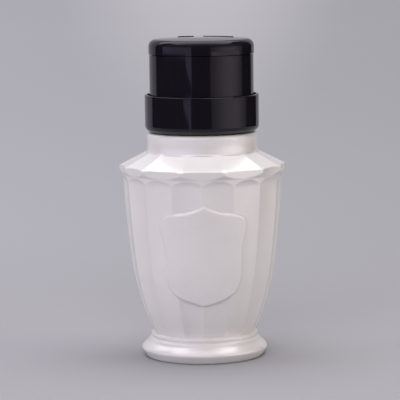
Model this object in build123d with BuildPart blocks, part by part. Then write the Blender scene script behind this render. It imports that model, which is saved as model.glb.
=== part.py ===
from build123d import *
import os
from math import asin, atan2, cos, degrees, radians, sin, sqrt

os.makedirs("parts", exist_ok=True)

# A press-pump bottle of about 200 ml. Millimetres, +Z up, the front of the bottle at -Y, and the
# origin in the middle of the base. The pump head is turned a little about Z, so what belongs to it
# is drawn on the plane head_side and on the turned ground plane.

gap = 0.3  # between parts that sit close, and the smallest step on a part

# ---------------------------------------------------------------- bottle, outside
# Points are (radius, height).
base_radius = 22.0  # ring that touches the table
foot_under = (24.6, 1.95)  # on the round underside of the foot
foot_tip = (25.65, 4.1)  # widest ring of the foot
foot_over = (24.85, 5.95)  # on its round upper side
foot_edge = (23.2, 7.3)  # edge where the upper side ends
foot_step = (22.7, 7.5)  # small land inside that edge
foot_groove = (21.75, 7.8)
bead_bottom = (21.2, 8.35)
bead_middle = (21.85, 9.25)
bead_top = (21.1, 10.15)
waist_radius = 20.2  # flute bottoms where the body meets the foot
waist_height = 10.8
belly_radius = 28.1  # flute bottoms where the two arcs of the body meet
belly_height = 38.8
body_radius = 31.1  # flute bottoms at the top of the body
body_height = 75.2
body_lean = -2.0  # slope of the body at its top, in degrees from upright
flute_count = 16
flute_radius = 30.0  # radius of the hollow of one flute
flute_depth = 1.3  # from the plain surface to the bottom of a flute
flute_end = 11.3  # where the flutes run out above the foot
flute_margin = 0.4  # from the arched ends up to the body's top
flute_fade = 4.5  # radius that a flute's bottom ends with

rim_radius = 34.0
rim_under = (0.3, 1.5)  # points of the rim are (inside its widest ring, above the body's top)
rim_middle = (0.0, 2.1)
rim_over = (0.45, 3.25)
rim_bend = (1.5, 3.95)  # the shoulder falls more steeply outside this point
rim_flat = 1.35  # rim in the middle of a scallop, inside its widest ring
rim_tilt = 1.0  # undercut of the rim between its cusps
shoulder_rise = 8.8  # above the body's top
neck_radius = 22.6
neck_waist = 0.25  # the neck's middle is this much smaller
neck_length = 7.7  # up to the ledge under the collar
neck_round = 1.4
scallop_cusps = (15, 45, 67.5, 90, 112.5, 135, 165)  # ridges on one side, from the front
scallop_sag = 0.06  # hollow of a scallop between its ridges, at the rim

finish_radius = 16.5  # neck finish that the collar screws on
finish_bore = 13.8
finish_length = 9.8
edge_break = 0.4

# ---------------------------------------------------------------- bottle, inside
wall = 1.3
corner_wall = 2.0  # the corners of the inside keep this much more
base_thickness = 1.6
push_up = 1.4  # hollow under the base
push_up_radius = 18.6
push_up_slope = 2.0  # width of the slope round that hollow

# ---------------------------------------------------------------- shield panel
shield_raise = 0.45  # above the plain surface of the body
shield_round = 1.0  # rounded edge
shield_drop = 10.2  # from the body's top down to the tip of the ogee
shield_flank = (3.3, 1.7)  # on the hollow flank of the ogee; points are (half width, below the tip)
shield_shoulder = (8.0, 3.05)
shield_outline = (
    (13.4, 3.7),
    (16.5, 5.35),
    (17.4, 8.0),
    (16.2, 13.9),
    (15.4, 21.4),
    (15.1, 29.2),
    (12.4, 35.7),
    (7.2, 38.85),
)
shield_length = 41.25  # from tip to tip

# ---------------------------------------------------------------- collar
collar_radius = 23.2
collar_wall = 1.0
collar_height = 15.0
collar_floor = 1.6
collar_round = 2.6  # lower outer edge
skirt_wall = 1.6  # threaded inner skirt
thread_room = 0.3  # radial room between the finish and the skirt
web = 1.2  # top web that clamps the pump

# ---------------------------------------------------------------- pump
gasket_thickness = 1.0
flange_thickness = 1.2
flange_radius = 16.3
flange_cone = 2.0  # width of the cone under the flange
flange_cone_height = 3.0
cylinder_radius = 6.6
cylinder_bore = 5.5
cylinder_length = 33.7  # from its floor to the flange's top
cylinder_floor = 2.2
cylinder_cone = 1.0  # height of the cone between the socket and the cylinder
socket_radius = 3.6
socket_depth = 9.0
socket_lead = 0.5
tube_radius = 2.1
tube_bore = 1.4
tube_room = 3.5  # between the tube's lower end and the bottle's floor
inlet_ball_radius = 1.9
inlet_seat_radius = 1.2
inlet_seat_slope = 2.0  # width of the funnel round the seat
inlet_seat_height = 1.2
ball_play = 0.05
inlet_lift = 1.2
retainer_thickness = 1.5
retainer_ring = 2.2  # radius of the circle that its holes stand on
retainer_hole = 0.8
stroke = 8.0
press_room = 0.4  # left under the head's boss at the end of the stroke
run_fit = 0.05  # radial running fit
stem_radius = 2.6
stem_bore = 1.5
stem_foot_radius = 4.2
stem_foot = 1.4
seal_length = 5.0
seal_gap = 0.5  # between the piston seal and the guide at rest
seal_lip = 0.5  # thickness of its lips
seal_lip_length = 1.0
seal_waist = 0.6  # the seal between its lips is this much smaller
seal_groove = 1.6  # depth of the groove inside a lip
guide_depth = 3.8  # plug of the stem guide in the cylinder
guide_radius = 8.0
wire_radius = 0.4
spring_radius = 3.4
spring_turns = 6

# ---------------------------------------------------------------- head
head_turn = 28.0  # thumb side of the head, turned from the bottle's front
head_radius = 21.15
head_wall = 1.3
dish_room = 6.7  # from the deck's top to the head's top edge
skirt_overlap = 3.8  # the head's skirt reaches this far into the collar
deck_thickness = 1.5
boss_length = 1.7
boss_radius = 4.8
ledge_width = 0.75
ledge_depth = 2.7  # from the head's top edge down to the dish seat
dish_flange = 1.0
dish_thickness = 1.0
dish_depth = 4.2
dish_sag = 0.24  # share of that depth that the bowl's side rises to
dish_sag_radius = 0.71  # at this share of the bowl's radius
nozzle_radius = 3.2
nozzle_bore = 2.3
nozzle_height = 4.4
nozzle_break = 0.8  # bevel round its top
nozzle_skin = 0.7  # thickness of the perforated top
nozzle_hole = 0.45
nozzle_ring = 1.4  # radius of the circle that the outer holes stand on
outlet_ball_radius = 1.9

# ---------------------------------------------------------------- lid
lid_radius = 21.4
lid_height = 6.25
lid_wall = 1.5
lid_round = 3.0
lid_crown = 0.35  # rise of the top's middle
notch_width = 16.5
notch_height = 1.6
notch_depth = 0.9
plug_radius = 4.0
plug_height = 1.2  # the plug ends this far above the lid's lower edge
lid_seal_radius = 5.2
ring_radius = 18.7  # inner ring of the lid, over the dish
ring_wall = 1.0
ring_reach = 0.9
ring_gusset = 2.0  # depth that the ring and the side are joined over
knuckle_radius = 1.7
knuckle_room = 0.25
knuckle_half = 4.3  # half length of the lid's knuckle
ear_length = 3.0
ear_front = 1.5  # height of the ear's outer edge
ear_back = 7.0  # height of the gusset down the head's wall
hinge_reach = 0.5  # hinge axis beyond the lid's side
pin_radius = 0.75

# ---------------------------------------------------------------- heights worked out from those
shoulder_top = body_height + shoulder_rise
neck_height = shoulder_top + neck_length
finish_height = neck_height + finish_length
shield_top = body_height - shield_drop
shield_bottom = shield_top - shield_length
floor = push_up + base_thickness
tube_bottom = floor + tube_room
collar_bottom = neck_height + gap
collar_top = collar_bottom + collar_height
gasket_top = finish_height + gasket_thickness
flange_top = gasket_top + flange_thickness
web_top = flange_top + web
boss_bottom = web_top + stroke + press_room
deck_bottom = boss_bottom + boss_length
deck_top = deck_bottom + deck_thickness
stem_top = deck_top - gap
guide_bottom = flange_top - guide_depth
seal_top = guide_bottom - seal_gap
seal_bottom = seal_top - seal_length
stem_bottom = seal_bottom - stem_foot
cylinder_bottom = flange_top - cylinder_length
chamber_floor = cylinder_bottom + cylinder_floor
inlet_ball_height = chamber_floor + sqrt(inlet_ball_radius**2 - inlet_seat_radius**2) + ball_play
retainer_bottom = inlet_ball_height + inlet_ball_radius + inlet_lift
retainer_top = retainer_bottom + retainer_thickness
outlet_ball_height = stem_top + sqrt(outlet_ball_radius**2 - stem_bore**2) + ball_play
skirt_inner = finish_radius + thread_room
skirt_outer = skirt_inner + skirt_wall
head_top = deck_top + dish_room
nozzle_top = deck_top + nozzle_height
lid_bottom = head_top + gap
lid_top = lid_bottom + lid_height
dish_seat = head_top - ledge_depth
dish_top = dish_seat + dish_flange
dish_bottom = dish_top - dish_depth
plug_bottom = lid_bottom + plug_height
hinge_y = lid_radius + hinge_reach
hinge_z = head_top + gap / 2

# Planes of the head: local x runs along the hinge, local y from the thumb notch to the hinge.
turned = Plane.XY.rotated((0, 0, head_turn))
head_side = Plane(origin=(0, 0, 0), x_dir=turned.y_dir, z_dir=turned.x_dir)


# ================================================================ bottle
# The flute bottoms follow two arcs that meet smoothly at the belly. The plain surface, the
# shield's face, the inside and the flute cutters are all the same two arcs at other distances.
def arc_centre(lower, upper, slope):
    """Centre of the arc through two (radius, height) points, given its direction at the upper."""
    chord = (upper[0] - lower[0], upper[1] - lower[1])
    length2 = chord[0] ** 2 + chord[1] ** 2
    normal = (-cos(slope), -sin(slope))
    reach = -length2 / (2 * (chord[0] * normal[0] + chord[1] * normal[1]))
    return (upper[0] + reach * normal[0], upper[1] + reach * normal[1]), reach


belly = (belly_radius, belly_height)
upper_centre, upper_reach = arc_centre(belly, (body_radius, body_height), radians(body_lean))
belly_lean = atan2(belly_height - upper_centre[1], belly_radius - upper_centre[0])
lower_centre, lower_reach = arc_centre((waist_radius, waist_height), belly, belly_lean)


def body_point(height, distance):
    """Point of the body's curve at a height, moved out by a distance along its normal."""
    centre, reach = (upper_centre, upper_reach) if height > belly_height else (lower_centre, lower_reach)
    angle = asin((height - centre[1]) / reach)
    return (centre[0] + (reach + distance) * cos(angle), centre[1] + (reach + distance) * sin(angle))


def body_curve(distance, bottom, top):
    """The two arcs of the body, moved out by a distance, between two heights."""
    joint = body_point(belly_height, distance)
    middle = (bottom + belly_height) / 2
    above = (top + belly_height) / 2
    ThreePointArc(body_point(bottom, distance), body_point(middle, distance), joint)
    ThreePointArc(joint, body_point(above, distance), body_point(top, distance))


# One flute: a round hollow along the body, whose bottom turns outward at the top.
flute_top = body_height - flute_margin
flute_rise = sqrt(flute_fade**2 - (flute_fade - flute_depth) ** 2)

with BuildPart() as flute:
    with BuildLine(Plane.XZ) as flute_path:
        body_curve(flute_radius, flute_end, flute_top - flute_rise)
    with BuildSketch(Plane(origin=flute_path.line @ 0, z_dir=flute_path.line % 0)):
        Circle(flute_radius)
    sweep()
    flute_last = Plane(origin=flute_path.line @ 1, x_dir=(0, 1, 0), z_dir=flute_path.line % 1)
    with BuildSketch(flute_last):
        Circle(flute_radius)
        with Locations((0, flute_radius)):
            Rectangle(2 * flute_radius, 2 * flute_fade, mode=Mode.INTERSECT)
    turn_axis = Axis(flute_last.from_local_coords((0, flute_radius - flute_fade)), (0, 1, 0))
    revolve(axis=turn_axis, revolution_arc=90)

# Scallops of the shoulder: each is a shallow hollow down the slope, and the rim is cut back
# between its cusps, where it hangs lowest.
body_top = body_point(body_height, flute_depth)
slope_top = (neck_radius + gap, shoulder_top)
slope_end = (rim_radius - rim_bend[0], body_height + rim_bend[1])
slope = atan2(slope_top[1] - slope_end[1], slope_end[0] - slope_top[0])
cusps = scallop_cusps + tuple(180 + angle for angle in scallop_cusps)


def scallop_cutters(half_angle):
    """The slope's hollow and the rim's cut for a scallop of this half angle, towards +X."""
    half = radians(half_angle)
    rim_chord = rim_radius * sin(half)
    hollow = rim_chord**2 / (2 * scallop_sag)
    depths = []
    for radius, _ in (slope_top, slope_end):
        chord = radius * sin(half)
        depths.append(chord**2 * sin(slope) / (2 * radius) + chord**2 / (2 * hollow))
    start = (slope_top[0] - depths[0] * sin(slope), slope_top[1] - depths[0] * cos(slope))
    end = (slope_end[0] - depths[1] * sin(slope), slope_end[1] - depths[1] * cos(slope))
    run = atan2(start[1] - end[1], end[0] - start[0])
    along = (cos(run), -sin(run))
    axis_start = Vector(start[0] + hollow * sin(run), 0, start[1] + hollow * cos(run))
    flat = min(rim_radius - rim_flat, rim_radius * cos(half) - gap)
    sag = rim_radius * cos(half) - flat
    rim_hollow = (rim_chord**2 + sag**2) / (2 * sag)
    tilt = radians(rim_tilt)
    rim_centre = Vector(flat + rim_hollow * cos(tilt), 0, slope_end[1] - rim_hollow * sin(tilt))
    with BuildPart() as cut:
        with BuildSketch(Plane(origin=axis_start, z_dir=(along[0], 0, along[1]))):
            Circle(hollow)
        extrude(amount=2 * (rim_radius - neck_radius))
        with BuildSketch(Plane(origin=rim_centre, z_dir=(sin(tilt), 0, cos(tilt)))):
            Circle(rim_hollow)
        extrude(amount=shoulder_rise, both=True)
    return cut.part


# The shield stands out of the flutes and follows the body's curve.
with BuildPart() as shield:
    with BuildSketch(Plane.XZ):
        with BuildLine():
            low = shield_bottom - 2 * shield_round
            high = shield_top + 2 * shield_round
            face_distance = flute_depth + shield_raise
            body_curve(face_distance, low, high)
            Polyline(
                body_point(high, face_distance),
                (0, body_point(high, face_distance)[1]),
                (0, body_point(low, face_distance)[1]),
                body_point(low, face_distance),
            )
        make_face()
    revolve(axis=Axis.Z)
    with BuildSketch(Plane(origin=(0, 0, shield_top), x_dir=(1, 0, 0), z_dir=(0, 1, 0))):
        with BuildLine():
            ThreePointArc((0, 0), shield_flank, shield_shoulder)
            Spline(shield_shoulder, *shield_outline, (0, shield_length))
            mirror(about=Plane.YZ)
        make_face()
    extrude(amount=-2 * body_radius, mode=Mode.INTERSECT)
    fillet(shield.faces().sort_by(Axis.Y)[0].edges(), radius=shield_round)

with BuildPart() as bottle:
    # Shoulder, rim and neck, with the scallops cut before the body joins on.
    with BuildSketch(Plane.XZ):
        with BuildLine():
            neck_edge = neck_height - neck_round
            under, tip, over = (
                (rim_radius - inset, body_height + rise) for inset, rise in (rim_under, rim_middle, rim_over)
            )
            Polyline((0, finish_height), (0, body_top[1]), body_top, under)
            ThreePointArc(under, tip, over)
            Polyline(over, slope_end, slope_top, (neck_radius, shoulder_top + gap))
            ThreePointArc(
                (neck_radius, shoulder_top + gap),
                (neck_radius - neck_waist, (shoulder_top + neck_edge) / 2),
                (neck_radius, neck_edge),
            )
            RadiusArc((neck_radius, neck_edge), (neck_radius - neck_round, neck_height), -neck_round)
            Polyline(
                (neck_radius - neck_round, neck_height),
                (finish_radius, neck_height),
                (finish_radius, finish_height - edge_break),
                (finish_radius - edge_break, finish_height),
                (0, finish_height),
            )
        make_face()
    revolve(axis=Axis.Z)
    for first, second in zip(cusps, cusps[1:] + (cusps[0] + 360,)):
        middle = (first + second) / 2 - 90
        add(scallop_cutters((second - first) / 2), rotation=(0, 0, middle), mode=Mode.SUBTRACT)
    # Body and foot.
    with BuildSketch(Plane.XZ):
        with BuildLine():
            hollow_edge = push_up_radius - push_up_slope
            body_bottom = body_point(waist_height, flute_depth)
            Polyline((0, push_up), (hollow_edge, push_up), (push_up_radius, 0), (base_radius, 0))
            ThreePointArc((base_radius, 0), foot_under, foot_tip)
            ThreePointArc(foot_tip, foot_over, foot_edge)
            Line(foot_edge, foot_step)
            ThreePointArc(foot_step, foot_groove, bead_bottom)
            ThreePointArc(bead_bottom, bead_middle, bead_top)
            Line(bead_top, body_bottom)
            body_curve(flute_depth, waist_height, body_height)
            Polyline(body_top, (0, body_top[1]), (0, push_up))
        make_face()
    revolve(axis=Axis.Z)
    for turn in range(flute_count):
        angle = (turn + 0.5) * 360 / flute_count
        add(flute.part, rotation=(0, 0, angle), mode=Mode.SUBTRACT)
    add(shield.part)
    # Inside: the body at one wall's distance, a bulge in the foot and the bore of the neck.
    with BuildSketch(Plane.XZ):
        with BuildLine():
            inner_low = body_point(waist_height, -wall)
            inner_high = body_point(body_height, -wall)
            Polyline(
                (0, floor),
                (hollow_edge, floor),
                (push_up_radius + wall, base_thickness),
                (base_radius - wall / 2, base_thickness + gap),
                (foot_tip[0] - corner_wall, foot_tip[1]),
                (foot_over[0] - corner_wall - gap, foot_over[1] - gap),
                (inner_low[0], bead_top[1]),
                inner_low,
            )
            body_curve(-wall, waist_height, body_height)
            Polyline(
                inner_high,
                (rim_radius - rim_flat - corner_wall, under[1]),
                (rim_radius - rim_flat - corner_wall, tip[1] - gap),
                (neck_radius - wall, shoulder_top - corner_wall),
                (neck_radius - wall, neck_height - corner_wall),
                (finish_bore + 2 * edge_break, neck_height - wall),
                (finish_bore, neck_height - wall + 2 * edge_break),
                (finish_bore, finish_height),
                (0, finish_height),
                (0, floor),
            )
        make_face()
    revolve(axis=Axis.Z, mode=Mode.SUBTRACT)
bottle.part.label = "bottle"
export_step(bottle.part, "parts/bottle.step")


# ================================================================ collar
# A deep cup with two walls: the head's skirt slides in the ring between them, and the inner wall
# screws on the neck and clamps the pump's flange with its top web.
with BuildPart() as collar:
    with BuildSketch(Plane.XZ):
        with BuildLine():
            Polyline(
                (skirt_inner, collar_bottom),
                (collar_radius, collar_bottom),
                (collar_radius, collar_top),
                (collar_radius - collar_wall, collar_top),
                (collar_radius - collar_wall, collar_bottom + collar_floor),
                (skirt_outer, collar_bottom + collar_floor),
                (skirt_outer, web_top),
                (guide_radius + gap, web_top),
                (guide_radius + gap, flange_top),
                (skirt_inner, flange_top),
                close=True,
            )
        make_face()
    revolve(axis=Axis.Z)
    outside = collar.faces().filter_by(GeomType.CYLINDER).sort_by(SortBy.RADIUS)[-1]
    fillet(outside.edges().sort_by(Axis.Z)[0], radius=collar_round)
    outside = collar.faces().filter_by(GeomType.CYLINDER).sort_by(SortBy.RADIUS)[-1]
    fillet(outside.edges().sort_by(Axis.Z)[-1], radius=edge_break)
collar.part.label = "collar"
export_step(collar.part, "parts/collar.step")


# ================================================================ pump
with BuildPart() as neck_gasket:
    with BuildSketch(Plane.XY.offset(finish_height)):
        Circle(flange_radius)
        Circle(finish_bore + gap, mode=Mode.SUBTRACT)
    extrude(amount=gasket_thickness)
neck_gasket.part.label = "neck_gasket"
export_step(neck_gasket.part, "parts/neck_gasket.step")

with BuildPart() as pump_cylinder:
    with BuildSketch(Plane.XZ):
        with BuildLine():
            funnel_top = chamber_floor + inlet_seat_height
            Polyline(
                (tube_bore, cylinder_bottom),
                (tube_radius, cylinder_bottom),
                (tube_radius, cylinder_bottom - socket_depth + socket_lead),
                (tube_radius + socket_lead, cylinder_bottom - socket_depth),
                (socket_radius, cylinder_bottom - socket_depth),
                (socket_radius, cylinder_bottom - cylinder_cone),
                (cylinder_radius, cylinder_bottom + cylinder_cone),
                (cylinder_radius, gasket_top - flange_cone_height),
                (cylinder_radius + flange_cone, gasket_top),
                (flange_radius, gasket_top),
                (flange_radius, flange_top),
                (cylinder_bore, flange_top),
                (cylinder_bore, funnel_top),
                (inlet_seat_radius + inlet_seat_slope, funnel_top),
                (inlet_seat_radius, chamber_floor),
                (tube_bore, cylinder_bottom + edge_break),
                close=True,
            )
        make_face()
    revolve(axis=Axis.Z)
pump_cylinder.part.label = "pump_cylinder"
export_step(pump_cylinder.part, "parts/pump_cylinder.step")

with BuildPart() as dip_tube:
    with BuildSketch(Plane.XY.offset(tube_bottom)):
        Circle(tube_radius)
        Circle(tube_bore, mode=Mode.SUBTRACT)
    extrude(amount=cylinder_bottom - tube_bottom)
    # The lower end is cut on the slant, so that it can't seal on the bottle's floor.
    with BuildSketch(Plane.XZ):
        with BuildLine():
            Polyline(
                (-tube_radius, tube_bottom),
                (tube_radius, tube_bottom),
                (tube_radius, tube_bottom + 2 * tube_radius),
                close=True,
            )
        make_face()
    extrude(amount=2 * tube_radius, both=True, mode=Mode.SUBTRACT)
dip_tube.part.label = "dip_tube"
export_step(dip_tube.part, "parts/dip_tube.step")

with BuildPart() as inlet_ball:
    with Locations((0, 0, inlet_ball_height)):
        Sphere(inlet_ball_radius)
inlet_ball.part.label = "inlet_ball"
export_step(inlet_ball.part, "parts/inlet_ball.step")

with BuildPart() as ball_retainer:
    with BuildSketch(Plane.XY.offset(retainer_bottom)):
        Circle(cylinder_bore)
        Circle(inlet_seat_radius, mode=Mode.SUBTRACT)
        with PolarLocations(retainer_ring, 3):
            Circle(retainer_hole, mode=Mode.SUBTRACT)
    extrude(amount=retainer_thickness)
ball_retainer.part.label = "ball_retainer"
export_step(ball_retainer.part, "parts/ball_retainer.step")

with BuildPart() as stem:
    with BuildSketch(Plane.XZ):
        with BuildLine():
            Polyline(
                (stem_bore, stem_bottom),
                (stem_foot_radius, stem_bottom),
                (stem_foot_radius, seal_bottom),
                (stem_radius, seal_bottom),
                (stem_radius, stem_top),
                (stem_bore, stem_top),
                close=True,
            )
        make_face()
    revolve(axis=Axis.Z)
stem.part.label = "stem"
export_step(stem.part, "parts/stem.step")

with BuildPart() as piston:
    seal_radius = cylinder_bore - run_fit
    with BuildSketch(Plane.XZ):
        with BuildLine():
            Polyline(
                (stem_radius, seal_bottom),
                (stem_foot_radius, seal_bottom),
                (stem_foot_radius, seal_bottom + seal_groove),
                (seal_radius - seal_lip, seal_bottom),
                (seal_radius, seal_bottom),
                (seal_radius, seal_bottom + seal_lip_length),
                (seal_radius - seal_waist, seal_bottom + 2 * seal_lip_length),
                (seal_radius - seal_waist, seal_top - 2 * seal_lip_length),
                (seal_radius, seal_top - seal_lip_length),
                (seal_radius, seal_top),
                (seal_radius - seal_lip, seal_top),
                (stem_foot_radius, seal_top - seal_groove),
                (stem_radius, seal_top - seal_groove),
                close=True,
            )
        make_face()
    revolve(axis=Axis.Z)
piston.part.label = "piston"
export_step(piston.part, "parts/piston.step")

with BuildPart() as stem_guide:
    with BuildSketch(Plane.XZ):
        with BuildLine():
            Polyline(
                (stem_radius + run_fit, guide_bottom),
                (cylinder_bore, guide_bottom),
                (cylinder_bore, flange_top),
                (guide_radius, flange_top),
                (guide_radius, web_top),
                (stem_radius + run_fit, web_top),
                close=True,
            )
        make_face()
    revolve(axis=Axis.Z)
stem_guide.part.label = "stem_guide"
export_step(stem_guide.part, "parts/stem_guide.step")

with BuildPart() as return_spring:
    spring_length = stem_bottom - retainer_top - 2 * wire_radius
    with BuildLine(Plane.XY.offset(retainer_top + wire_radius)) as wire:
        Helix(pitch=spring_length / spring_turns, height=spring_length, radius=spring_radius)
    with BuildSketch(Plane(origin=wire.line @ 0, z_dir=wire.line % 0)):
        Circle(wire_radius)
    sweep()
return_spring.part.label = "return_spring"
export_step(return_spring.part, "parts/return_spring.step")

# ================================================================ head
with BuildPart() as head:
    inner = head_radius - head_wall
    skirt_bottom = collar_top - skirt_overlap
    with BuildSketch(head_side):
        with BuildLine():
            Polyline(
                (stem_radius + run_fit, boss_bottom),
                (boss_radius, boss_bottom),
                (boss_radius, deck_bottom),
                (inner, deck_bottom),
                (inner, skirt_bottom),
                (head_radius, skirt_bottom),
                (head_radius, head_top),
                (inner, head_top),
                (inner, dish_seat),
                (inner - ledge_width, dish_seat),
                (inner - ledge_width, deck_top),
                (stem_radius + run_fit, deck_top),
                close=True,
            )
        make_face()
    revolve(axis=Axis.Z)
    # Two ears outside the back wall carry the hinge pin, each on a tapered gusset.
    ear_start = knuckle_half + knuckle_room
    ear_sides = (ear_start, -ear_start - ear_length)
    for start in ear_sides:
        with BuildSketch(head_side.offset(start)):
            with Locations((hinge_y, hinge_z)):
                Circle(knuckle_radius)
            with BuildLine():
                Polyline(
                    (head_radius - head_wall / 2, hinge_z),
                    (hinge_y + knuckle_radius, hinge_z),
                    (hinge_y + knuckle_radius, hinge_z - ear_front),
                    (head_radius - head_wall / 2, hinge_z - ear_back),
                    close=True,
                )
            make_face()
        extrude(amount=ear_length)
    with BuildSketch(head_side.offset(-ear_start)):
        with Locations((hinge_y, hinge_z)):
            Circle(knuckle_radius + knuckle_room)
    extrude(amount=2 * ear_start, mode=Mode.SUBTRACT)
    with BuildSketch(head_side.offset(-lid_radius)):
        with Locations((hinge_y, hinge_z)):
            Circle(pin_radius + run_fit / 2)
    extrude(amount=2 * lid_radius, mode=Mode.SUBTRACT)
head.part.label = "head"
export_step(head.part, "parts/head.step")

with BuildPart() as hinge_pin:
    pin_half = ear_start + ear_length + gap
    with BuildSketch(head_side.offset(-pin_half)):
        with Locations((hinge_y, hinge_z)):
            Circle(pin_radius)
    extrude(amount=2 * pin_half)
hinge_pin.part.label = "hinge_pin"
export_step(hinge_pin.part, "parts/hinge_pin.step")

with BuildPart() as dish:
    rim = inner - gap / 2
    bowl = rim - ledge_width - 2 * gap
    bowl_inner = bowl - dish_thickness
    bowl_foot = nozzle_radius + 2 * dish_thickness
    sag_height = dish_bottom + dish_sag * dish_depth
    with BuildSketch(head_side):
        with BuildLine():
            Polyline(
                (nozzle_radius, dish_bottom + dish_thickness),
                (nozzle_radius, dish_bottom),
                (bowl_foot, dish_bottom),
            )
            ThreePointArc((bowl_foot, dish_bottom), (dish_sag_radius * bowl, sag_height), (bowl, dish_seat))
            Polyline((bowl, dish_seat), (rim, dish_seat), (rim, dish_top), (bowl_inner, dish_top))
            ThreePointArc(
                (bowl_inner, dish_top),
                (dish_sag_radius * bowl, sag_height + dish_thickness),
                (bowl_foot, dish_bottom + dish_thickness),
            )
            Line((bowl_foot, dish_bottom + dish_thickness), (nozzle_radius, dish_bottom + dish_thickness))
        make_face()
    revolve(axis=Axis.Z)
dish.part.label = "dish"
export_step(dish.part, "parts/dish.step")

with BuildPart() as nozzle:
    with BuildSketch(head_side):
        with BuildLine():
            Polyline(
                (nozzle_bore, deck_top),
                (nozzle_radius, deck_top),
                (nozzle_radius, nozzle_top - nozzle_break),
                (nozzle_radius - nozzle_break, nozzle_top),
                (0, nozzle_top),
                (0, nozzle_top - nozzle_skin),
                (nozzle_bore, nozzle_top - nozzle_skin),
                close=True,
            )
        make_face()
    revolve(axis=Axis.Z)
    with BuildSketch(turned.offset(nozzle_top)):
        Circle(nozzle_hole)
        with PolarLocations(nozzle_ring, 6):
            Circle(nozzle_hole)
    extrude(amount=-2 * nozzle_skin, mode=Mode.SUBTRACT)
nozzle.part.label = "nozzle"
export_step(nozzle.part, "parts/nozzle.step")

with BuildPart() as outlet_ball:
    with Locations((0, 0, outlet_ball_height)):
        Sphere(outlet_ball_radius)
outlet_ball.part.label = "outlet_ball"
export_step(outlet_ball.part, "parts/outlet_ball.step")

# ================================================================ lid
with BuildPart() as lid:
    roof = lid_top - lid_crown - lid_wall
    gusset_bottom = roof - ring_gusset
    ring_bottom = dish_top + ring_reach
    edge_top = lid_top - lid_crown
    edge_flat = lid_radius - lid_round
    edge_inset = lid_round * (1 - cos(radians(45)))
    crown_radius = (edge_flat**2 + lid_crown**2) / (2 * lid_crown)
    crown_angle = degrees(asin(edge_flat / crown_radius))
    with BuildSketch(head_side):
        with BuildLine():
            Polyline(
                (0, plug_bottom),
                (plug_radius, plug_bottom),
                (plug_radius, roof),
                (ring_radius - ring_wall, roof),
                (ring_radius - ring_wall, ring_bottom),
                (ring_radius, ring_bottom),
                (ring_radius, gusset_bottom),
                (lid_radius - lid_wall, gusset_bottom),
                (lid_radius - lid_wall, lid_bottom),
                (lid_radius, lid_bottom),
                (lid_radius, edge_top - lid_round),
            )
            ThreePointArc(
                (lid_radius, edge_top - lid_round),
                (lid_radius - edge_inset, edge_top - edge_inset),
                (edge_flat, edge_top),
            )
            CenterArc((0, lid_top - crown_radius), crown_radius, 90 - crown_angle, crown_angle)
            Line((0, lid_top), (0, plug_bottom))
        make_face()
    revolve(axis=Axis.Z)
    # Thumb notch at the front of the lower edge.
    with BuildSketch(turned.offset(lid_bottom)):
        with Locations((0, -lid_radius)):
            Rectangle(notch_width, 2 * notch_depth)
    extrude(amount=notch_height, mode=Mode.SUBTRACT)
    # Room for the head's ears, and the knuckle between them.
    for start in ear_sides:
        with BuildSketch(head_side.offset(start - knuckle_room)):
            with Locations((hinge_y, hinge_z)):
                Circle(knuckle_radius + knuckle_room)
        extrude(amount=ear_length + 2 * knuckle_room, mode=Mode.SUBTRACT)
    with BuildSketch(head_side.offset(-knuckle_half)):
        with Locations((hinge_y, hinge_z)):
            Circle(knuckle_radius)
    extrude(amount=2 * knuckle_half)
    with BuildSketch(head_side.offset(-knuckle_half)):
        with Locations((hinge_y, hinge_z)):
            Circle(pin_radius + run_fit)
    extrude(amount=2 * knuckle_half, mode=Mode.SUBTRACT)
lid.part.label = "lid"
export_step(lid.part, "parts/lid.step")

with BuildPart() as lid_seal:
    with BuildSketch(turned.offset(nozzle_top + gap)):
        Circle(lid_seal_radius)
    extrude(amount=plug_bottom - nozzle_top - gap)
lid_seal.part.label = "lid_seal"
export_step(lid_seal.part, "parts/lid_seal.step")
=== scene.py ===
from math import cos, degrees, hypot, pi, radians, sin

import bmesh
import bpy
from bmesh.types import BMEdge, BMFace, BMVert
from mathutils import Matrix, Vector


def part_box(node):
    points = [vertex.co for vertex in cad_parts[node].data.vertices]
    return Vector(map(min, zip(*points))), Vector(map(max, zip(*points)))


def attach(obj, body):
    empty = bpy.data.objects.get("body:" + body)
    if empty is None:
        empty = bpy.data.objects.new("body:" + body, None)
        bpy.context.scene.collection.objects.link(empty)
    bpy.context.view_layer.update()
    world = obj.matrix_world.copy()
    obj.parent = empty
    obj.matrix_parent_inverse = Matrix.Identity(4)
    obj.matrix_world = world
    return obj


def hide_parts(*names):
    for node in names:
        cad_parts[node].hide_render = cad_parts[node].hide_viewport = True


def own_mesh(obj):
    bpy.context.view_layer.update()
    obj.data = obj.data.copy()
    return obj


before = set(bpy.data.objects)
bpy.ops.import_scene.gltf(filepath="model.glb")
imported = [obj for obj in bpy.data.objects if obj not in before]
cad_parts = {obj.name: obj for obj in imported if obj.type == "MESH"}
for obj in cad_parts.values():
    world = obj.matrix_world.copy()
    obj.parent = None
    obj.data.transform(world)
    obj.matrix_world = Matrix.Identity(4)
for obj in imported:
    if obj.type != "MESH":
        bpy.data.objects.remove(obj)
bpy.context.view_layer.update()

MM = 0.001
WELD = 0.001 * MM  # corners nearer than this become one
CENTRE = (0, 0, 0)
UPRIGHT = (0, 0, 1)


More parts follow.
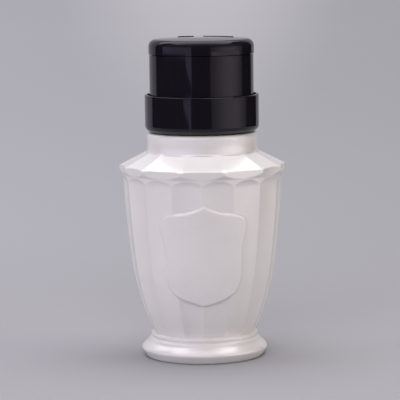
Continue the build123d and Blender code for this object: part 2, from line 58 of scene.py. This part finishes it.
# ------------------------------------------------------------------ material arithmetic
class Field:
    """A value that varies over a surface. Arithmetic on it adds the Math nodes."""

    def __init__(self, nodes, socket):
        self.nodes = nodes
        self.socket = socket

    def calc(self, operation, *values):
        sockets = dict(enumerate(values))
        made = self.nodes.node("ShaderNodeMath", {"operation": operation}, sockets)
        return Field(self.nodes, made.outputs[0])

    def __add__(self, other):
        return self.calc("ADD", self, other)

    __radd__ = __add__

    def __sub__(self, other):
        return self.calc("SUBTRACT", self, other)

    def __rsub__(self, other):
        return self.calc("SUBTRACT", other, self)

    def __mul__(self, other):
        return self.calc("MULTIPLY", self, other)

    __rmul__ = __mul__

    def __truediv__(self, other):
        return self.calc("DIVIDE", self, other)

    def at_least(self, other):
        return self.calc("MAXIMUM", self, other)

    def clamp(self):
        return self.calc("MINIMUM", self.at_least(0.0), 1.0)

    def root(self):
        return self.calc("POWER", self, 0.5)

    def ramp(self, low, high):
        """0 at low and 1 at high, smooth in between."""
        made = self.nodes.node(
            "ShaderNodeMapRange",
            {"interpolation_type": "SMOOTHSTEP"},
            {"Value": self, "From Min": low, "From Max": high},
        )
        return Field(self.nodes, made.outputs["Result"])


class Nodes:
    """The nodes of one material, or of the world."""

    def __init__(self, owner):
        owner.use_nodes = True
        self.tree = owner.node_tree

    def node(self, kind, settings=None, sockets=None):
        made = self.tree.nodes.new(kind)
        for key, value in (settings or {}).items():
            setattr(made, key, value)
        for key, value in (sockets or {}).items():
            self.feed(made.inputs[key], value)
        return made

    def feed(self, socket, value):
        if isinstance(value, Field):
            value = value.socket
        if isinstance(value, bpy.types.NodeSocket):
            self.tree.links.new(value, socket)
        else:
            socket.default_value = value

    def blend(self, amount, low, high, blend_type="MIX"):
        """A colour between two others, or with ADD the low one plus a share of the high one."""
        settings = {"data_type": "RGBA", "blend_type": blend_type}
        made = self.node("ShaderNodeMix", settings, {0: amount, 6: low, 7: high})
        return made.outputs[2]

    def seen(self):
        """1 for a ray that shows the surface itself, and 0 for one that takes its light."""
        path = self.node("ShaderNodeLightPath")
        kinds = ("Camera", "Glossy", "Transmission")
        return sum(Field(self, path.outputs[f"Is {kind} Ray"]) for kind in kinds).clamp()


class Finish(Nodes):
    """One material: a Principled shader, its constants, and the nodes that vary it."""

    def __init__(self, name, **constants):
        self.material = bpy.data.materials.new(name)
        super().__init__(self.material)
        self.shader = self.tree.nodes["Principled BSDF"]
        for constant, value in constants.items():
            socket = constant.replace("_", " ").title().replace("Ior", "IOR")
            self.shader.inputs[socket].default_value = value

    def place(self):
        """Object coordinates."""
        return self.node("ShaderNodeTexCoord").outputs["Object"]

    def axes(self):
        """Object coordinates as three fields."""
        parts = self.node("ShaderNodeSeparateXYZ", sockets={0: self.place()})
        return [Field(self, output) for output in parts.outputs]

    def noise(self, where, scale, detail=3.0):
        sockets = {"Vector": where, "Scale": scale, "Detail": detail, "Roughness": 0.5}
        return Field(self, self.node("ShaderNodeTexNoise", sockets=sockets).outputs["Fac"])

    def colour(self, value):
        self.feed(self.shader.inputs["Base Color"], value)

    def roughness(self, value):
        self.feed(self.shader.inputs["Roughness"], value)

    def glow(self, value):
        self.feed(self.shader.inputs["Emission Color"], value)

    def bump(self, height, distance, strength, softened=0.0):
        """Relief from a height field, on edges that look rounded by the radius softened."""
        sockets = {"Height": height, "Distance": distance, "Strength": strength}
        made = self.node("ShaderNodeBump", sockets=sockets)
        if softened:
            rounded = self.node("ShaderNodeBevel", {"samples": 8}, {"Radius": softened})
            self.feed(made.inputs["Normal"], rounded.outputs["Normal"])
        self.feed(self.shader.inputs["Normal"], made.outputs["Normal"])


# ------------------------------------------------------------------ finishes of the pieces
def pearl_white(name, softened, least_roughness):
    """Blow-moulded pearl plastic: a soft sheen, faint flow marks and a waxy coat."""
    made = Finish(
        name, metallic=0.42, ior=1.5, coat_weight=0.6, coat_roughness=0.10,
        specular_ior_level=0.5,
    )
    where = made.place()
    flow = made.noise(where, 45.0, 4.0)
    speck = made.noise(where, 900.0, 2.0)
    tone = (flow * 0.7 + speck * 0.3).ramp(0.3, 0.7)
    made.colour(made.blend(tone, (0.79, 0.762, 0.769, 1), (0.83, 0.80, 0.804, 1)))
    made.roughness(speck * 0.08 + flow * 0.06 + least_roughness)
    made.bump(flow * 0.8 + speck * 0.2, 0.08 * MM, 0.35, softened)
    return made.material


def gloss_black():
    """Injection-moulded black plastic with a faint ripple in its polish."""
    made = Finish("gloss_black", ior=1.42)
    where = made.place()
    ripple = made.noise(where, 60.0, 2.0)
    grain = made.noise(where, 1500.0, 2.0)
    made.colour(made.blend(ripple, (0.0062, 0.0053, 0.0088, 1), (0.0078, 0.0067, 0.0108, 1)))
    made.roughness(grain * 0.02 + ripple * 0.02 + 0.02)
    made.bump(ripple * 0.9 + grain * 0.1, 0.06 * MM, 0.12)
    return made.material


def grained(name, scale, detail, dark, pale, roughness, relief, **constants):
    """A finish with one grain in its colour, its roughness and its relief.

    Roughness is the least of it and what the grain adds. Relief is its depth and its strength.
    """
    made = Finish(name, **constants)
    grain = made.noise(made.place(), scale, detail)
    least, added = roughness
    made.colour(made.blend(grain, (*dark, 1), (*pale, 1)))
    made.roughness(grain * added + least)
    made.bump(grain, *relief)
    return made.material


made_finishes = (
    pearl_white("pearl_white", 0.9 * MM, 0.27),
    pearl_white("pearl_crisp", 0.2 * MM, 0.25),
    gloss_black(),
    # The spark-eroded, matt top of raised marks in the black plastic.
    grained(
        "textured_black", 2500.0, 2.0, (0.0050, 0.0045, 0.0065), (0.0085, 0.0075, 0.0110),
        roughness=(0.55, 0.15), relief=(0.04 * MM, 0.4), ior=1.42,
    ),
    # Uncoloured polyethylene, waxy and slightly cloudy.
    grained(
        "natural_plastic", 160.0, 3.0, (0.70, 0.71, 0.70), (0.78, 0.79, 0.77),
        roughness=(0.38, 0.12), relief=(0.05 * MM, 0.3), ior=1.5,
    ),
    # Smooth white plastic of the dish and its nozzle.
    grained(
        "dish_white", 90.0, 3.0, (0.74, 0.73, 0.74), (0.79, 0.78, 0.78),
        roughness=(0.22, 0.10), relief=(0.04 * MM, 0.3), ior=1.5, coat_weight=0.2,
        coat_roughness=0.1,
    ),
    # Matt grey-white elastomer.
    grained(
        "soft_seal", 700.0, 3.0, (0.50, 0.50, 0.49), (0.58, 0.58, 0.56),
        roughness=(0.60, 0.10), relief=(0.06 * MM, 0.4), ior=1.45,
    ),
    # Drawn stainless wire, ground balls and the hinge's pin.
    grained(
        "stainless", 1200.0, 2.0, (0.58, 0.58, 0.59), (0.66, 0.66, 0.67),
        roughness=(0.18, 0.12), relief=(0.02 * MM, 0.3), metallic=1.0,
    ),
)
finishes = {finish.name: finish for finish in made_finishes}
nodes_in = {
    "pearl_white": ("bottle",),
    "gloss_black": ("collar", "head", "lid"),
    "dish_white": ("dish", "nozzle"),
    "natural_plastic": (
        "pump_cylinder", "stem", "stem_guide", "ball_retainer", "dip_tube", "piston",
    ),
    "soft_seal": ("neck_gasket", "lid_seal"),
    "stainless": ("return_spring", "inlet_ball", "outlet_ball", "hinge_pin"),
}
for name, nodes in nodes_in.items():
    for node in nodes:
        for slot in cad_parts[node].material_slots:
            slot.material = finishes[name]


# ------------------------------------------------------------------ making of pieces
def only(kind, parts):
    """The corners, the edges or the faces among the parts of a mesh."""
    return [part for part in parts if isinstance(part, kind)]


def each_once(parts):
    """The parts without repeats, in their order."""
    return list(dict.fromkeys(parts))


def height_span(face):
    """The heights of a face's lowest and highest corners."""
    heights = [vert.co.z for vert in face.verts]
    return min(heights), max(heights)


def section_face(mesh, start, outline):
    """A section with an outline of radius and height, turned round the axis by start degrees."""
    verts = [mesh.verts.new((radius, 0, height)) for radius, height in outline]
    turn = Matrix.Rotation(radians(start), 3, "Z")
    bmesh.ops.rotate(mesh, verts=verts, cent=CENTRE, matrix=turn)
    return mesh.faces.new(verts)


def piece(name, mesh, body, finish):
    """Makes an object of a bmesh, gives it its finish and lets it ride on a body."""
    bmesh.ops.recalc_face_normals(mesh, faces=mesh.faces)
    data = bpy.data.meshes.new(name)
    mesh.to_mesh(data)
    mesh.free()
    made = bpy.data.objects.new(name, data)
    bpy.context.scene.collection.objects.link(made)
    data.materials.append(finishes[finish])
    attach(made, body)
    return made


# ------------------------------------------------------------------ bottle
CUT_HEIGHT = 11.7 * MM  # the outer skin is drawn anew below this
FLUTE_END = 9.95 * MM  # the flutes run down to this height
FLUTE_TAPER = 0.45  # how far the flutes draw in for each millimetre down
FLUTE_STEPS = 4
FOOT_STEPS = 144  # straight stretches round the foot
FACET_ANGLE = radians(12)  # a sharper bend between flutes stays an edge
SKIN_RADIUS = 19.9 * MM  # the wall's inside has corners nearer the axis than this
LEAN_OUT = 0.03  # a face of the outer skin points away from the axis by more than this
OUTLINE_STEPS = 3  # points for each stretch of the foot's outline

# The foot's outline as radius and height in millimetres: a full bead, a smaller step, a straight
# slope and a rim, down to the ring that the bottle stands on.
FOOT_OUTLINE = (
    (21.45, 9.86), (21.72, 9.6), (21.87, 9.15), (21.76, 8.65), (21.44, 8.22),
    (21.5, 7.97), (22.05, 7.74), (22.5, 7.37), (22.82, 6.87), (23.15, 6.42),
    (23.75, 5.85), (24.45, 5.22), (25.05, 4.6), (25.45, 4.1), (25.65, 3.6),
    (25.6, 3.1), (25.33, 2.6), (24.9, 1.9), (24.45, 1.15), (24.05, 0.5),
    (23.6, 0.12), (23.0, 0.0),
)


def smooth_line(points, steps):
    """The same line with steps points for each stretch, on a curve through its points."""
    ends = [points[0] * 2 - points[1], *points, points[-1] * 2 - points[-2]]
    line = []
    for before, start, end, after in zip(ends, ends[1:], ends[2:], ends[3:]):
        for step in range(steps):
            t = step / steps
            along = (end - before) * t + (before * 2 - start * 5 + end * 4 - after) * t**2
            line.append(start + (along + (start * 3 - before - end * 3 + after) * t**3) / 2)
    return [*line, points[-1]]


def outside(face):
    """True on the bottle's outer skin, below the shoulder."""
    middle = face.calc_center_median()
    outwards = (face.normal.x * middle.x + face.normal.y * middle.y) / hypot(middle.x, middle.y)
    return outwards > LEAN_OUT and min(hypot(v.co.x, v.co.y) for v in face.verts) > SKIN_RADIUS


def skin_cut_away(made):
    """Takes the outer skin off below the cut, and gives the two rims that this leaves."""
    crossed = []
    for face in made.faces:
        low, high = height_span(face)
        if low < CUT_HEIGHT < high and outside(face):
            crossed.append(face)
    edges = each_once(edge for face in crossed for edge in face.edges)
    verts = each_once(vert for face in crossed for vert in face.verts)
    bmesh.ops.bisect_plane(
        made, geom=crossed + edges + verts, plane_co=(0, 0, CUT_HEIGHT), plane_no=UPRIGHT
    )
    low_faces = [face for face in made.faces if height_span(face)[1] < CUT_HEIGHT + WELD]
    low_skin = [face for face in low_faces if outside(face)]
    bmesh.ops.delete(made, geom=low_skin, context="FACES")
    rims = [edge for edge in made.edges if edge.is_boundary]
    upper = [edge for edge in rims if edge.verts[0].co.z > MM]
    lower = [edge for edge in rims if edge.verts[0].co.z < MM]
    return upper, lower


def drawn_down(made, ring, scale, fall, foot):
    """Extrudes a ring of edges downwards, adds its faces to foot and gives the new ring."""
    grown = bmesh.ops.extrude_edge_only(made, edges=ring)["geom"]
    verts = only(BMVert, grown)
    bmesh.ops.scale(made, verts=verts, vec=(scale, scale, 1))
    bmesh.ops.translate(made, verts=verts, vec=(0, 0, -fall))
    foot.extend(only(BMFace, grown))
    return only(BMEdge, grown)


def foot_drawn(made, ring, base_ring):
    """Draws the flutes and the foot down from the upper rim to the lower one."""
    foot = []
    radius = max(hypot(v.co.x, v.co.y) for edge in ring for v in edge.verts)
    fall = (CUT_HEIGHT - FLUTE_END) / FLUTE_STEPS
    for _ in range(FLUTE_STEPS):
        ring = drawn_down(made, ring, 1 - FLUTE_TAPER * fall / radius, fall, foot)
        radius -= FLUTE_TAPER * fall
    for face in foot:
        for edge in face.edges:
            edge.smooth = edge.calc_face_angle(0) < FACET_ANGLE
    line = smooth_line([Vector(point) * MM for point in FOOT_OUTLINE], OUTLINE_STEPS)
    top = Matrix.Translation((0, 0, line[0].y))
    circle = bmesh.ops.create_circle(made, segments=FOOT_STEPS, radius=line[0].x, matrix=top)
    circle = each_once(edge for vert in circle["verts"] for edge in vert.link_edges)
    foot += bmesh.ops.bridge_loops(made, edges=ring + circle)["faces"]
    for edge in ring + base_ring:
        edge.smooth = False
    ring = circle
    for above, below in zip(line, line[1:]):
        ring = drawn_down(made, ring, below.x / above.x, above.y - below.y, foot)
    foot += bmesh.ops.bridge_loops(made, edges=ring + base_ring)["faces"]
    bmesh.ops.recalc_face_normals(made, faces=foot)
    return foot


def moulded_bottle():
    """The bottle with its foot drawn anew from the fluted body down to the base ring."""
    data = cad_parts["bottle"].data.copy()
    data.name = "moulded_bottle"
    corners = [0.0] * (3 * len(data.loops))
    data.corner_normals.foreach_get("vector", corners)
    cut_normals = data.attributes.new("cut_normal", "FLOAT_VECTOR", "CORNER")
    cut_normals.data.foreach_set("vector", corners)
    made = bmesh.new()
    made.from_mesh(data)
    fresh = made.faces.layers.int.new("fresh")
    bmesh.ops.remove_doubles(made, verts=made.verts, dist=WELD)
    for face in foot_drawn(made, *skin_cut_away(made)):
        face.smooth = True
        face.material_index = 1
        face[fresh] = 1
    made.to_mesh(data)
    made.free()

    # The body keeps the shading that it came with, and the new foot gets its own.
    if "custom_normal" in data.attributes:
        data.attributes.remove(data.attributes["custom_normal"])
    is_new = data.attributes["fresh"].data
    kept = data.attributes["cut_normal"].data
    data.normals_split_custom_set(
        [
            (data.corner_normals if is_new[face.index].value else kept)[corner].vector.copy()
            for face in data.polygons
            for corner in face.loop_indices
        ]
    )
    for attribute in ("fresh", "cut_normal"):
        data.attributes.remove(data.attributes[attribute])
    data.materials.append(finishes["pearl_crisp"])
    shown = bpy.data.objects.new("moulded_bottle", data)
    bpy.context.scene.collection.objects.link(shown)
    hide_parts("bottle")
    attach(shown, "bottle")


moulded_bottle()


# ------------------------------------------------------------------ threads
STEPS_PER_TURN = 72


def thread(name, body, finish, root, crest, bottom, pitch, turns, start=0.0):
    """A moulded screw thread: a trapezoid section carried round the axis while it climbs.

    Root and crest are radii, and start is where the thread begins, in degrees.
    """
    made = bmesh.new()
    half_root, half_crest = 0.30 * pitch, 0.14 * pitch
    outline = [(root, -half_root), (crest, -half_crest), (crest, half_crest), (root, half_root)]
    face = section_face(made, start, [(radius, bottom + height) for radius, height in outline])
    steps = round(STEPS_PER_TURN * turns)
    bmesh.ops.spin(
        made, geom=[face], cent=CENTRE, axis=UPRIGHT, dvec=(0, 0, pitch * turns / steps),
        angle=2 * pi * turns, steps=steps,
    )
    return piece(name, made, body, finish)


_, bottle_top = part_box("bottle")
neck_radius = 16.5 * MM
neck_ridge = 0.22 * MM
collar_bore = neck_radius + 0.3 * MM
collar_ridge = 0.24 * MM
root_sunk = 0.05 * MM  # how far a thread's root lies inside the wall that carries it
thread_pitch = 3.2 * MM
thread_foot = bottle_top[2] - 6.8 * MM
thread(
    "neck_thread", "bottle", "pearl_white", neck_radius - root_sunk, neck_radius + neck_ridge,
    thread_foot, thread_pitch, turns=1.4,
)
thread(
    "collar_thread", "collar", "gloss_black", collar_bore + root_sunk, collar_bore - collar_ridge,
    thread_foot + thread_pitch / 2, thread_pitch, turns=1.2, start=60.0,
)


# ------------------------------------------------------------------ return spring
def pressed_spring():
    """The return spring as one welded mesh, riding on the plunger."""
    made = bmesh.new()
    made.from_mesh(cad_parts["return_spring"].data)
    bmesh.ops.remove_doubles(made, verts=made.verts, dist=WELD)
    shown = piece("pressed_spring", made, "plunger", "stainless")
    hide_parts("return_spring")
    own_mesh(shown)


pressed_spring()


# ------------------------------------------------------------------ marks on the lid
def turn_arrow(name, radius, start, sweep, width, top, depth):
    """A raised curved arrow on the lid, to show the way the head turns.

    Start is its tail in degrees anticlockwise from the right, and sweep is how far it runs.
    """
    made = bmesh.new()
    inner, outer, bottom = radius - width / 2, radius + width / 2, top - depth
    outline = [(inner, bottom), (outer, bottom), (outer, top), (inner, top)]
    tail = section_face(made, start, outline)
    bmesh.ops.spin(made, geom=[tail], cent=CENTRE, axis=UPRIGHT, angle=radians(sweep), steps=24)
    head = 1.5 * width
    forward = 1 if sweep > 0 else -1
    turn = Matrix.Rotation(radians(start + sweep), 4, "Z")
    shift = Matrix.Translation((radius, forward * head / 2, top - depth / 2))
    way_round = Matrix.Rotation(0 if sweep > 0 else pi, 4, "Z")
    bmesh.ops.create_cone(
        made, cap_ends=True, segments=3, radius1=head, radius2=head, depth=depth,
        matrix=turn @ shift @ way_round,
    )
    return piece(name, made, "lid", "textured_black")


_, lid_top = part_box("lid")
mark_top = lid_top[2] - 0.015 * MM  # just under the lid's highest point
mark_width = 1.3 * MM
mark_depth = 0.4 * MM
turn_arrow("lock_arrow", 14.5 * MM, 86.0, -48.0, mark_width, mark_top, mark_depth)
turn_arrow("open_arrow", 16.2 * MM, 101.0, 14.0, mark_width, mark_top, mark_depth)


# ------------------------------------------------------------------ studio
def studio_object(name, mesh, finish):
    """Makes an object of a bmesh that stands round the bottle and is no part of it."""
    bmesh.ops.recalc_face_normals(mesh, faces=mesh.faces)
    data = bpy.data.meshes.new(name)
    mesh.to_mesh(data)
    mesh.free()
    data.materials.append(finish.material)
    made = bpy.data.objects.new(name, data)
    bpy.context.scene.collection.objects.link(made)
    return made


def studio_paper():
    """Pale paper that takes shadows near the bottle and glows far off, with painted light in the
    glow: lighter to the left and a pool of light behind the bottle's top.
    """
    paper = Finish("studio_paper", roughness=0.9, specular_ior_level=0.2, emission_strength=1.0)
    x, y, z = paper.axes()
    near_tone, far_tone = (0.272, 0.268, 0.292, 1), (0.02, 0.02, 0.021, 1)
    # Painted light: the far glow is lighter to the left than to the right.
    left_tone, right_tone = (0.405, 0.397, 0.441, 1), (0.369, 0.361, 0.394, 1)
    # Painted light: a brighter pool on the backdrop behind the bottle's top.
    painted_light_pool_tone = (0.515, 0.492, 0.537, 1)
    spread = (x * x + y * y).root()
    far = (y + z).ramp(0.03, 0.4).at_least(spread.ramp(0.35, 0.95))
    paper.colour(paper.blend(far, near_tone, far_tone))
    depth = (y + 0.9).at_least(0.3)
    across = x / depth
    rise = (z - 0.12) / depth
    side = (across * 5.5 + 0.5).clamp()
    painted_light_pool = (across * across + rise * rise).root().ramp(0.075, 0.015)
    tone = paper.blend(painted_light_pool, paper.blend(side, left_tone, right_tone), painted_light_pool_tone)
    paper.glow(paper.blend(far * paper.seen(), (0, 0, 0, 1), tone))
    return paper


def studio():
    """A pale sweep: a floor that curves up into a backdrop."""
    made = bmesh.new()
    half_width, front, back, bend, height = 12.0, -12.0, 3.0, 1.5, 4.0
    row = [made.verts.new((side * half_width, front, 0)) for side in (-1, 1)]
    edge = made.edges.new(row)
    grown = bmesh.ops.extrude_edge_only(made, edges=[edge])["geom"]
    bmesh.ops.translate(made, verts=only(BMVert, grown), vec=(0, back - front, 0))
    bent = bmesh.ops.spin(
        made, geom=only(BMVert, grown) + only(BMEdge, grown), cent=(0, back, bend),
        axis=(1, 0, 0), angle=pi / 2, steps=24,
    )["geom_last"]
    grown = bmesh.ops.extrude_edge_only(made, edges=only(BMEdge, bent))["geom"]
    bmesh.ops.translate(made, verts=only(BMVert, grown), vec=(0, 0, height))
    floor = studio_object("studio_floor", made, studio_paper())
    for face in floor.data.polygons:
        face.use_smooth = True


studio()


def painted_reflection_cloth():
    """Black cloth with a painted reflection on either side: a glowing patch for a bright window,
    each dimmer high up.
    """
    cloth = Finish("painted_reflection_cloth", roughness=0.95, specular_ior_level=0.0, emission_strength=1.0)
    grain = cloth.noise(cloth.place(), 30.0)
    cloth.colour(cloth.blend(grain, (0.004, 0.004, 0.005, 1), (0.008, 0.008, 0.009, 1)))
    # Glow colours of the two patches, which are painted reflections of bright windows, seen only
    # in gloss.
    right_painted_reflection, left_painted_reflection = (1.55, 1.38, 1.58, 1), (1.6, 1.4, 2.24, 1)
    x, y, z = cloth.axes()
    azimuth = x.calc("ARCTAN2", x, y * -1.0) * degrees(1)  # positive to the camera's right
    low = z.ramp(0.42, 0.16)

    # The right painted reflection, a glowing patch for a window, is brightest in its middle.
    middle = azimuth.ramp(15.0, 60.0) * azimuth.ramp(100.0, 68.0)
    opening = azimuth.ramp(17.5, 20.5) * azimuth.ramp(101.0, 96.0)
    right = opening * (middle * 0.68 + 0.27) * (low * 0.5 + 0.15)

    # The left painted reflection, a glowing patch for a window, is wide high up.
    # Under that it narrows downwards to nothing twice.
    wide = z.ramp(0.089, 0.091) * 57.0
    upper_wedge = z.ramp(0.066, 0.085) * 13.0
    lower_wedge = z.ramp(0.0395, 0.0415) * 4.5 + z.ramp(0.0435, 0.058) * 11.0
    left_edge = -21.0 - (wide + upper_wedge + lower_wedge * z.ramp(0.063, 0.061))
    opening = (azimuth - left_edge).ramp(-1.0, 1.0) * azimuth.ramp(-20.0, -22.5)
    left = opening * (low * 0.27 + 0.08)
    lit = cloth.blend(right, (0, 0, 0, 1), right_painted_reflection)
    cloth.glow(cloth.blend(left, lit, left_painted_reflection, "ADD"))
    return cloth


def dark_tent():
    """Black cloth round the camera's side of the table. Only gloss shows it: it paints dark
    reflections, with two glowing patches as painted reflections of windows.
    """
    made = bmesh.new()
    radius, foot, top = 0.6, 0.001, 0.9
    left_end, right_end = radians(-117), radians(139)
    corner = (radius * sin(right_end), -radius * cos(right_end))
    rise = [made.verts.new((*corner, level)) for level in (foot, top)]
    edge = made.edges.new(rise)
    bmesh.ops.spin(
        made, geom=rise + [edge], cent=CENTRE, axis=(0, 0, -1), angle=right_end - left_end,
        steps=64,
    )
    tent = studio_object("dark_tent", made, painted_reflection_cloth())
    for kind in ("camera", "diffuse", "shadow", "transmission"):
        setattr(tent, f"visible_{kind}", False)


dark_tent()


def softbox(name, azimuth, elevation, distance, size, level, colour, lights=True, mirrored=True):
    """An area lamp aimed at the bottle, its level given as the brightness of its surface.

    Azimuth 0 is the camera's side, positive to its right. A lamp that isn't mirrored lights
    surfaces but doesn't show in their gloss, and one that doesn't light only shows there.
    """
    aim = Vector((0, 0, 0.075))
    a, e = radians(azimuth), radians(elevation)
    away = Vector((sin(a) * cos(e), -cos(a) * cos(e), sin(e)))
    lamp = bpy.data.lights.new(name, "AREA")
    lamp.shape = "RECTANGLE"
    lamp.size, lamp.size_y = size
    lamp.energy = level * pi * size[0] * size[1]
    lamp.color = colour
    made = bpy.data.objects.new(name, lamp)
    made.location = aim + away * distance
    made.rotation_euler = (-away).to_track_quat("-Z", "Y").to_euler()
    made.visible_diffuse = lights
    made.visible_glossy = mirrored
    bpy.context.scene.collection.objects.link(made)


overhead, frontal = (1.0, 0.985, 1.0), (1.0, 0.965, 0.985)
cool_side, warm_side = (0.99, 0.965, 0.99), (1.0, 0.93, 0.76)
# Name, azimuth, elevation, distance, size, level and colour.
softbox("top_light", 174, 80, 1.1, (1.4, 1.0), 4.3, overhead, mirrored=False)
softbox("top_gloss", 180, 76, 1.0, (2.4, 1.0), 1.45, overhead, lights=False)
softbox("front_fill", -14, 30, 1.3, (1.2, 0.7), 4.7, frontal, mirrored=False)
softbox("front_gloss", -6, 36, 1.3, (1.1, 0.5), 3.2, frontal, lights=False)
softbox("left_side", -82, 6, 1.0, (1.0, 0.9), 2.55, cool_side, mirrored=False)
softbox("right_side", 82, 6, 1.0, (1.0, 0.9), 2.85, warm_side, mirrored=False)


def studio_air():
    """Air that lights the bottle only dimly, and is as pale as the backdrop where it is seen."""
    world = bpy.data.worlds.new("studio_air")
    air = Nodes(world)
    dim, pale = (0.054, 0.055, 0.060, 1), (0.370, 0.362, 0.400, 1)
    air.feed(air.tree.nodes["Background"].inputs["Color"], air.blend(air.seen(), dim, pale))
    bpy.context.scene.world = world


studio_air()


# ------------------------------------------------------------------ camera
def camera():
    """A long lens near the table, looking a little down on the bottle."""
    lens = bpy.data.cameras.new("camera")
    lens.sensor_width = 36.0
    lens.lens = 200.0
    lens.clip_start = 0.05
    made = bpy.data.objects.new("camera", lens)
    bpy.context.scene.collection.objects.link(made)
    made.location = (0.0, -0.9, 0.175)
    target = Vector((-0.0012, 0.0, 0.0636))
    look = (target - made.location).to_track_quat("-Z", "Y").to_matrix().to_4x4()
    roll = Matrix.Rotation(radians(-0.7), 4, "Z")
    made.rotation_euler = (look @ roll).to_euler()
    bpy.context.scene.camera = made


camera()
bpy.context.scene.view_settings.view_transform = "Standard"
